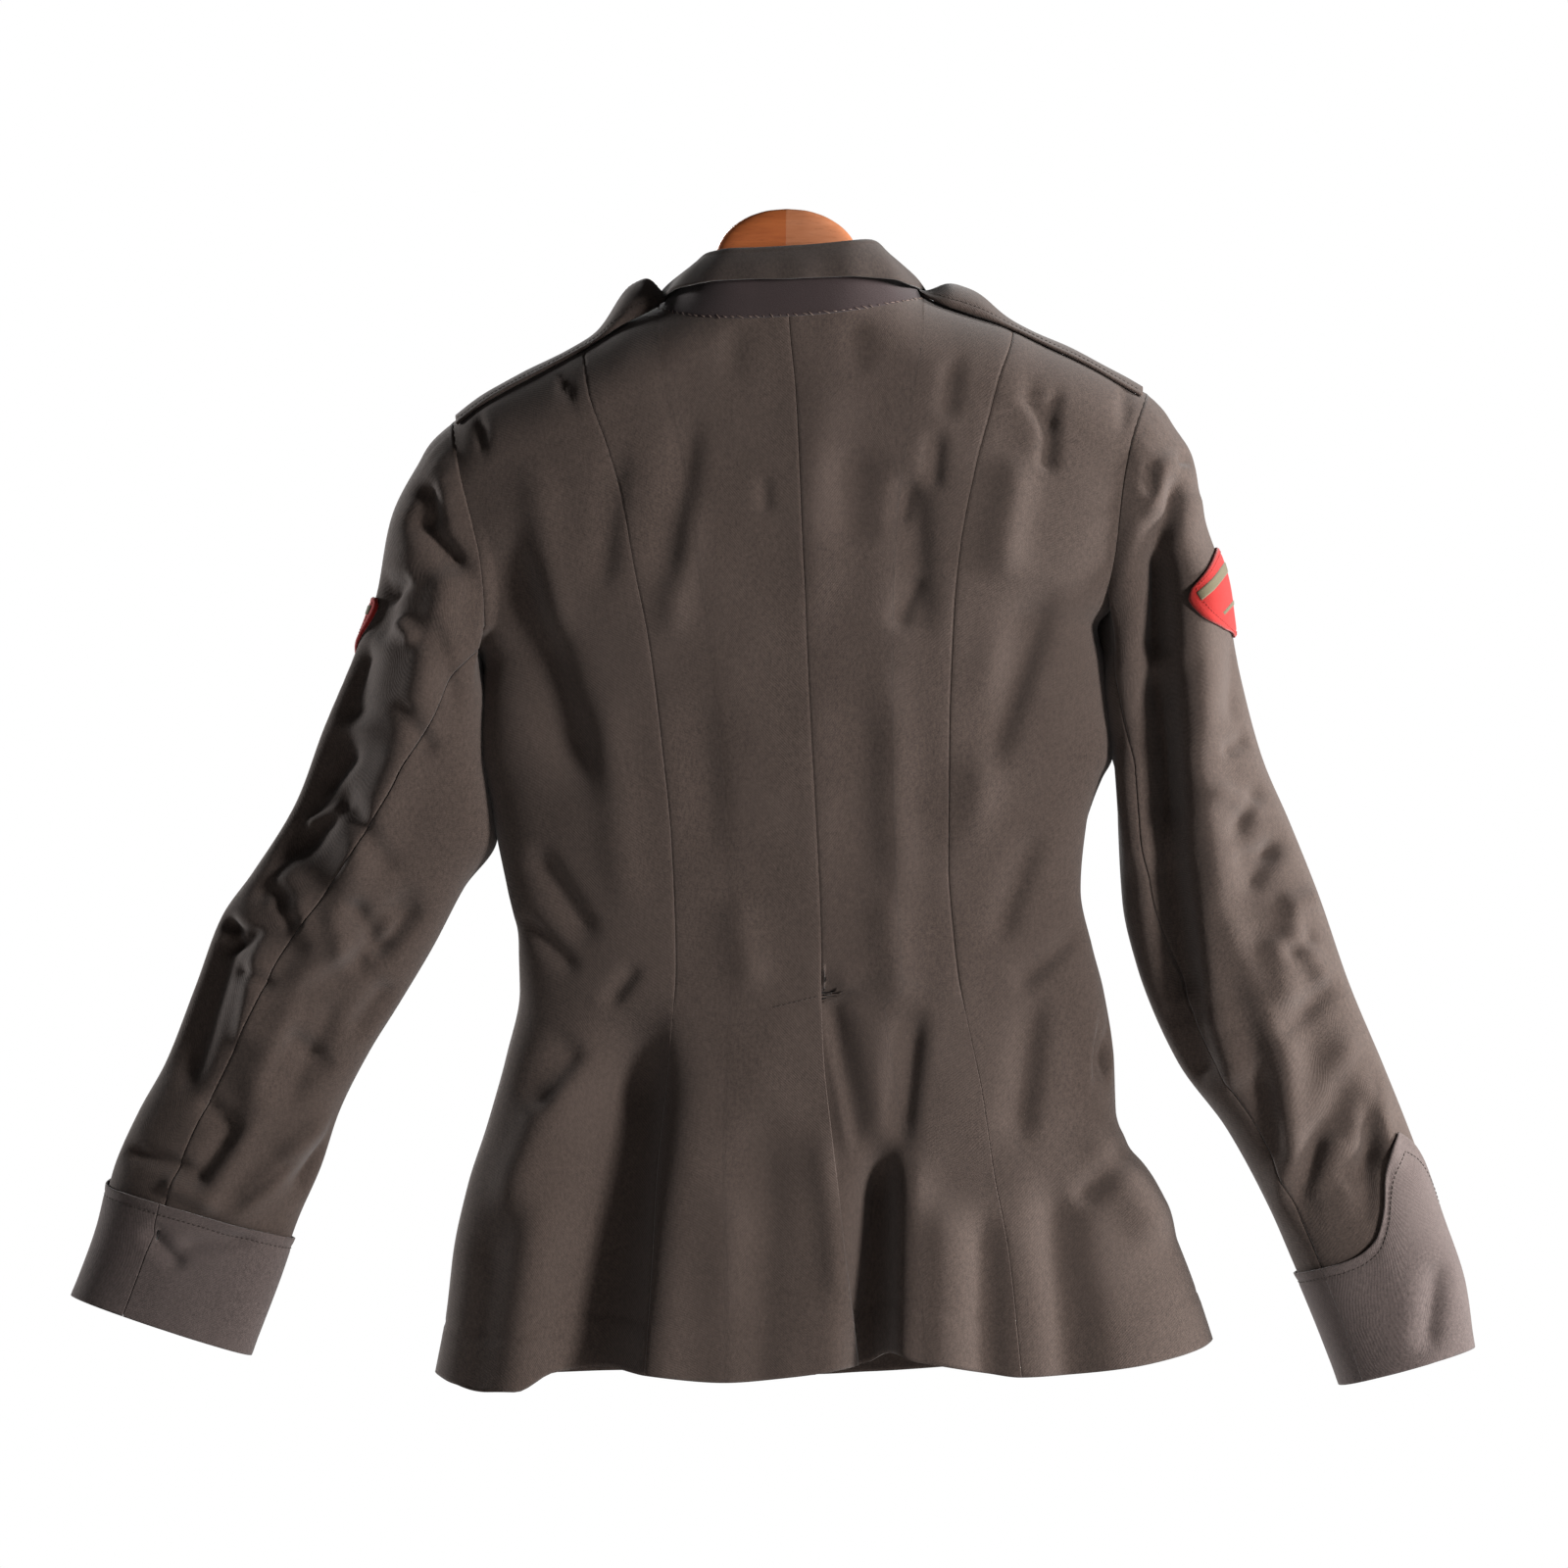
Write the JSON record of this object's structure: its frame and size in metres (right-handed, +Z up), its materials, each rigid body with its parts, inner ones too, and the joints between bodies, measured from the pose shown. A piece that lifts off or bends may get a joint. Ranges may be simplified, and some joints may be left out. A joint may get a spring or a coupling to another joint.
{
  "type": "fitted uniform jacket on a wooden hanger",
  "caption": "Hip-length fitted wool jacket with princess seams, back vent, pointed cuffs and shoulder straps, hanging open and empty on a wooden hanger",
  "frame": {"origin": "top of the hanger's neck, where it is held", "axes": "+X to the jacket's right, +Y to its front, +Z up; the back faces -Y"},
  "size_m": [0.8533, 0.1208, 0.714],
  "materials": {
    "serge": "matt",
    "cuff_cloth": "matt",
    "dark_felt": "matt",
    "red_felt": "matt",
    "button": "satin",
    "wood": "satin"
  },
  "bodies": {
    "root": {"back_left": "serge", "back_right": "serge", "button_1": "button", "button_2": "button", "button_3": "button", "collar": "serge", "cuff_top_left": "cuff_cloth", "cuff_top_right": "cuff_cloth", "cuff_under_left": "cuff_cloth", "cuff_under_right": "cuff_cloth", "front_left": "serge", "front_right": "serge", "hanger_left": "wood", "hanger_right": "wood", "lapel_left": "serge", "lapel_right": "serge", "patch_left": "red_felt", "patch_right": "red_felt", "side_back_left": "serge", "side_back_right": "serge", "strap_left": "serge", "strap_right": "serge", "top_sleeve_left": "serge", "top_sleeve_right": "serge", "under_sleeve_left": "serge", "under_sleeve_right": "serge", "undercollar": "dark_felt"}
  },
  "joints": []
}
